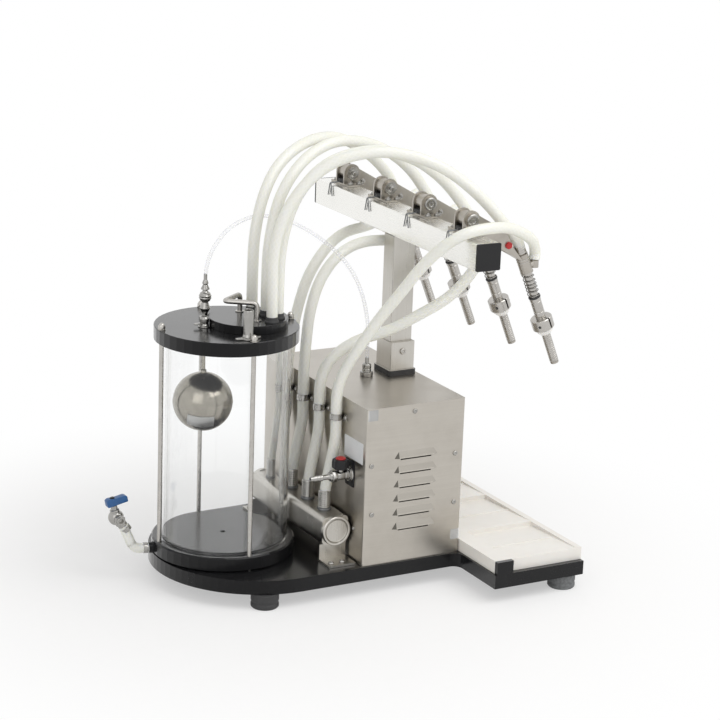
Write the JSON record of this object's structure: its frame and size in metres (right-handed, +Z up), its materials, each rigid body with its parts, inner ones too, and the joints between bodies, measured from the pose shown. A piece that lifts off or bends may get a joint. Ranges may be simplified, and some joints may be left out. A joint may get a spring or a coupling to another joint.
{
  "type": "vacuum filling machine",
  "caption": "Table-top vacuum bottle filler: nozzles on hinged levers over a stepped tray, a clear overflow jar with float, a boxed pump and clear hoses.",
  "frame": {"origin": "on the table, under the middle of the machine's overall box", "axes": "+X along the nozzle beam, away from the vacuum valve's side; -Y towards the bottles and the person filling; +Z up"},
  "size_m": [0.5, 0.6082, 0.6201],
  "materials": {
    "black_plastic": "satin",
    "rubber": "matt",
    "white_plastic": "satin",
    "clear_wall": "clear, polished",
    "steel": "brushed",
    "nickel": "nickel plated",
    "cast": "painted casting",
    "hose": "milky clear, braided",
    "blue_plastic": "gloss"
  },
  "bodies": {
    "machine": {"base_plate": "black_plastic", "jar_base": "black_plastic", "jar_lid": "black_plastic", "hatch_lid": "black_plastic", "beam_cap_1": "black_plastic", "beam_cap_2": "black_plastic", "foot_1": "rubber", "foot_2": "rubber", "foot_3": "rubber", "foot_4": "rubber", "bottle_tray": "white_plastic", "jar_glass": "clear_wall", "hatch_handle": "steel", "vent_tube": "steel", "pump_housing": "steel", "column": "steel", "column_socket": "steel", "head_beam": "steel", "manifold": "steel", "manifold_bracket_1": "steel", "manifold_bracket_2": "steel", "clevis_1": "steel", "clevis_2": "steel", "clevis_3": "steel", "clevis_4": "steel", "tie_rod_1": "nickel", "tie_rod_2": "nickel", "tie_rod_3": "nickel", "tie_rod_4": "nickel", "float_guide": "nickel", "vacuum_fitting": "nickel", "vacuum_valve": "nickel", "vacuum_elbow": "nickel", "drain_valve": "nickel", "vacuum_pump": "cast", "supply_hose_1": "hose", "supply_hose_2": "hose", "supply_hose_3": "hose", "supply_hose_4": "hose", "return_hose_1": "hose", "return_hose_2": "hose", "return_hose_3": "hose", "return_hose_4": "hose", "vacuum_tube": "hose", "drain_hose": "hose"},
    "head_1": {"lever_head_1": "steel", "spring_1": "nickel"},
    "nozzle_1": {"nozzle_1": "steel"},
    "head_2": {"lever_head_2": "steel", "spring_2": "nickel"},
    "nozzle_2": {"nozzle_2": "steel"},
    "head_3": {"lever_head_3": "steel", "spring_3": "nickel"},
    "nozzle_3": {"nozzle_3": "steel"},
    "head_4": {"lever_head_4": "steel", "spring_4": "nickel"},
    "nozzle_4": {"nozzle_4": "steel"},
    "float": {"float_ball": "steel"},
    "knob": {"valve_knob": "black_plastic"},
    "drain_handle": {"drain_lever": "blue_plastic"}
  },
  "joints": [
    {"name": "head_lift_1", "type": "hinge", "parent": "machine", "child": "head_1", "pos_m": [0.1805, -0.141, 0.527], "axis": [-1, 0, 0], "range_deg": [0, 35], "deforming": ["supply_hose_1", "return_hose_1"]},
    {"name": "nozzle_slide_1", "type": "slide", "parent": "head_1", "child": "nozzle_1", "axis": [0, 0.3795, 0.9252], "range_m": [0, 0.018], "stiffness_N_per_m": 300, "springref_m": -0.01, "deforming": ["spring_1"]},
    {"name": "head_lift_2", "type": "hinge", "parent": "machine", "child": "head_2", "pos_m": [0.068, -0.141, 0.527], "axis": [-1, 0, 0], "range_deg": [0, 35], "deforming": ["supply_hose_2", "return_hose_2"]},
    {"name": "nozzle_slide_2", "type": "slide", "parent": "head_2", "child": "nozzle_2", "axis": [0, 0.3795, 0.9252], "range_m": [0, 0.018], "stiffness_N_per_m": 300, "springref_m": -0.01, "deforming": ["spring_2"]},
    {"name": "head_lift_3", "type": "hinge", "parent": "machine", "child": "head_3", "pos_m": [-0.0445, -0.141, 0.527], "axis": [-1, 0, 0], "range_deg": [0, 35], "deforming": ["supply_hose_3", "return_hose_3"]},
    {"name": "nozzle_slide_3", "type": "slide", "parent": "head_3", "child": "nozzle_3", "axis": [0, 0.3795, 0.9252], "range_m": [0, 0.018], "stiffness_N_per_m": 300, "springref_m": -0.01, "deforming": ["spring_3"]},
    {"name": "head_lift_4", "type": "hinge", "parent": "machine", "child": "head_4", "pos_m": [-0.157, -0.141, 0.527], "axis": [-1, 0, 0], "range_deg": [0, 35], "deforming": ["supply_hose_4", "return_hose_4"]},
    {"name": "nozzle_slide_4", "type": "slide", "parent": "head_4", "child": "nozzle_4", "axis": [0, 0.3795, 0.9252], "range_m": [0, 0.018], "stiffness_N_per_m": 300, "springref_m": -0.01, "deforming": ["spring_4"]},
    {"name": "float_rise", "type": "slide", "parent": "machine", "child": "float", "axis": [0, 0, 1], "range_m": [0, 0.015]},
    {"name": "knob_turn", "type": "hinge", "parent": "machine", "child": "knob", "pos_m": [-0.106, 0.0123, 0.1655], "axis": [0, 0, 1], "range_deg": [0, 270]},
    {"name": "drain_turn", "type": "hinge", "parent": "machine", "child": "drain_handle", "pos_m": [0.02906, 0.2885, 0.098], "axis": [0, 0.2079, 0.9781], "range_deg": [-90, 0]}
  ]
}
